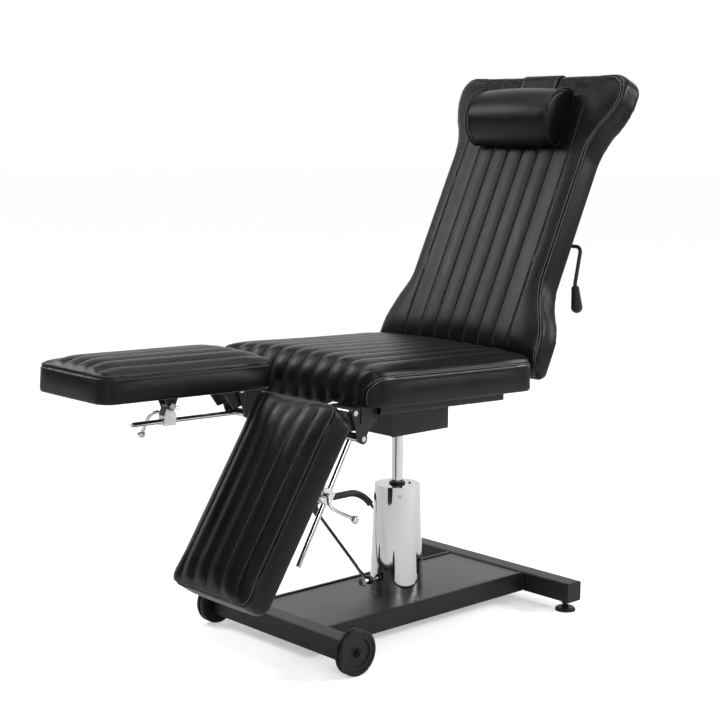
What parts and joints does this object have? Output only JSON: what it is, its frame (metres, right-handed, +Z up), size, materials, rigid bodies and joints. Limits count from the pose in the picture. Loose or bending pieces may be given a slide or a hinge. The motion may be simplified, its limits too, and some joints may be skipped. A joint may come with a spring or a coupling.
{
  "type": "tattoo chair",
  "caption": "Tattoo chair: padded seat on a pump column, reclining back with bolster, split leg rests held by clamped struts, and a wheeled base plate",
  "frame": {"origin": "middle of the footprint on the floor", "axes": "X across, +Y to the head end, Z up"},
  "size_m": [0.5704, 1.4197, 1.3441],
  "materials": {
    "vinyl": "soft black vinyl",
    "plywood": "black covered board",
    "chrome": "polished",
    "wheel_plastic": "moulded",
    "rubber": "ribbed",
    "cast": "cast",
    "black_cast": "painted casting",
    "zinc": "zinc plated",
    "gland_plastic": "smooth",
    "black_steel": "black powder coat"
  },
  "bodies": {
    "base": {"front_cross_tube": "black_steel", "rear_cross_tube": "black_steel", "tube_end_caps": "wheel_plastic", "base_plate": "black_steel", "axle_bolts": "black_steel", "pump_base": "black_cast", "pump_cylinder": "black_steel", "pump_shroud": "chrome", "rod_gland": "gland_plastic", "base_rail_left": "black_steel", "base_rail_right": "black_steel"},
    "column": {"piston_rod": "chrome"},
    "pedal": {"pedal_loop": "chrome", "pedal_sleeve": "rubber"},
    "seat": {"column_socket": "black_steel", "head_box": "black_steel", "seat_cross_members": "black_steel", "seat_cushion": "vinyl", "seat_board": "plywood", "bracket_pins": "zinc", "recline_shaft": "zinc", "spring_foot_lug": "black_steel", "seat_rail_left": "black_steel", "seat_rail_right": "black_steel", "leg_bracket_left": "black_steel", "leg_bracket_right": "black_steel", "hinge_arm_left": "black_steel", "hinge_arm_right": "black_steel"},
    "back": {"back_cushion": "vinyl", "back_board": "plywood", "back_cross_bars": "black_steel", "spring_head_lug": "black_steel", "head_strap": "vinyl", "back_tube_left": "black_steel", "back_tube_right": "black_steel"},
    "headrest": {"pillow": "vinyl"},
    "gas_cylinder": {"spring_cylinder": "black_steel"},
    "gas_rod": {"spring_rod": "chrome"},
    "release": {"release_lever": "black_steel", "lever_grip": "wheel_plastic"},
    "wheel_left": {"wheel_left": "wheel_plastic"},
    "foot_left": {"foot_left": "wheel_plastic"},
    "leg_rest_left": {"leg_cushion_left": "vinyl", "leg_board_left": "plywood", "leg_plates_left": "black_steel", "clamp_bracket_left": "black_steel", "clamp_pin_left": "zinc"},
    "strut_left": {"strut_left": "chrome"},
    "clamp_left": {"clamp_left": "cast"},
    "clamp_lever_left": {"clamp_lever_left": "chrome"},
    "wheel_right": {"wheel_right": "wheel_plastic"},
    "foot_right": {"foot_right": "wheel_plastic"},
    "leg_rest_right": {"leg_cushion_right": "vinyl", "leg_board_right": "plywood", "leg_plates_right": "black_steel", "clamp_bracket_right": "black_steel", "clamp_pin_right": "zinc"},
    "strut_right": {"strut_right": "chrome"},
    "clamp_right": {"clamp_right": "cast"},
    "clamp_lever_right": {"clamp_lever_right": "chrome"}
  },
  "joints": [
    {"name": "lift", "type": "slide", "parent": "base", "child": "column", "axis": [0, 0, 1], "range_m": [-0.11, 0.055]},
    {"name": "seat_swivel", "type": "hinge", "parent": "column", "child": "seat", "pos_m": [0, 0.13803, 0.5], "axis": [0, 0, 1], "continuous": true},
    {"name": "pedal_press", "type": "hinge", "parent": "base", "child": "pedal", "pos_m": [0, 0.13803, 0.107], "axis": [0, 1, 0], "range_deg": [-25, 0], "stiffness_Nm_per_rad": 8, "springref_deg": 11.46},
    {"name": "recline", "type": "hinge", "parent": "seat", "child": "back", "pos_m": [0, 0.37303, 0.58], "axis": [1, 0, 0], "range_deg": [-64, 4]},
    {"name": "pillow_slide", "type": "slide", "parent": "back", "child": "headrest", "axis": [0, 0.4337, 0.9011], "range_m": [-0.03, 0.02]},
    {"name": "gas_foot_pivot", "type": "hinge", "parent": "seat", "child": "gas_cylinder", "pos_m": [0, 0.38803, 0.552], "axis": [1, 0, 0], "range_deg": [-64, 5]},
    {"name": "gas_head_pivot", "type": "hinge", "parent": "back", "child": "gas_rod", "pos_m": [0, 0.54803, 0.916], "axis": [1, 0, 0], "range_deg": [-5, 5]},
    {"name": "release_pull", "type": "hinge", "parent": "back", "child": "release", "pos_m": [0.1, 0.54803, 0.916], "axis": [1, 0, 0], "range_deg": [0, 12], "stiffness_Nm_per_rad": 1.2, "springref_deg": -20.05},
    {"name": "wheel_left_spin", "type": "hinge", "parent": "base", "child": "wheel_left", "pos_m": [-0.2535, -0.23147, 0.0527], "axis": [1, 0, 0], "continuous": true},
    {"name": "foot_left_level", "type": "slide", "parent": "base", "child": "foot_left", "axis": [0, 0, 1], "range_m": [-0.01, 0.004]},
    {"name": "leg_left_drop", "type": "hinge", "parent": "seat", "child": "leg_rest_left", "pos_m": [-0.2, -0.22347, 0.5883], "axis": [1, 0, 0], "range_deg": [0, 58.7]},
    {"name": "strut_left_pivot", "type": "hinge", "parent": "seat", "child": "strut_left", "pos_m": [-0.2, -0.19897, 0.528], "axis": [1, 0, 0], "range_deg": [0, 61.34]},
    {"name": "clamp_left_pivot", "type": "hinge", "parent": "leg_rest_left", "child": "clamp_left", "pos_m": [-0.2, -0.40847, 0.5683], "axis": [1, 0, 0], "range_deg": [0, 2.64]},
    {"name": "clamp_lever_left_turn", "type": "hinge", "parent": "clamp_left", "child": "clamp_lever_left", "pos_m": [-0.225, -0.40885, 0.5498], "axis": [1, 0, 0], "range_deg": [-15, 15]},
    {"name": "wheel_right_spin", "type": "hinge", "parent": "base", "child": "wheel_right", "pos_m": [0.2535, -0.23147, 0.0527], "axis": [1, 0, 0], "continuous": true},
    {"name": "foot_right_level", "type": "slide", "parent": "base", "child": "foot_right", "axis": [0, 0, 1], "range_m": [-0.01, 0.004]},
    {"name": "leg_right_drop", "type": "hinge", "parent": "seat", "child": "leg_rest_right", "pos_m": [0.2, -0.22347, 0.5883], "axis": [1, 0, 0], "range_deg": [-58.7, 0]},
    {"name": "strut_right_pivot", "type": "hinge", "parent": "seat", "child": "strut_right", "pos_m": [0.2, -0.19897, 0.528], "axis": [1, 0, 0], "range_deg": [-61.34, 0]},
    {"name": "clamp_right_pivot", "type": "hinge", "parent": "leg_rest_right", "child": "clamp_right", "pos_m": [0.2, -0.30249, 0.41984], "axis": [1, 0, 0], "range_deg": [-2.64, 0]},
    {"name": "clamp_lever_right_turn", "type": "hinge", "parent": "clamp_right", "child": "clamp_lever_right", "pos_m": [0.225, -0.28644, 0.41063], "axis": [1, 0, 0], "range_deg": [-15, 15]}
  ],
  "couplings": [
    {"joint": "strut_left_pivot", "follows": "leg_left_drop", "ratio": 1.045},
    {"joint": "clamp_left_pivot", "follows": "leg_left_drop", "ratio": 0.04503},
    {"joint": "strut_right_pivot", "follows": "leg_right_drop", "ratio": 1.045},
    {"joint": "clamp_right_pivot", "follows": "leg_right_drop", "ratio": 0.04503},
    {"joint": "gas_foot_pivot", "follows": "recline", "ratio": 0.984},
    {"joint": "gas_head_pivot", "follows": "recline", "ratio": -0.016}
  ]
}
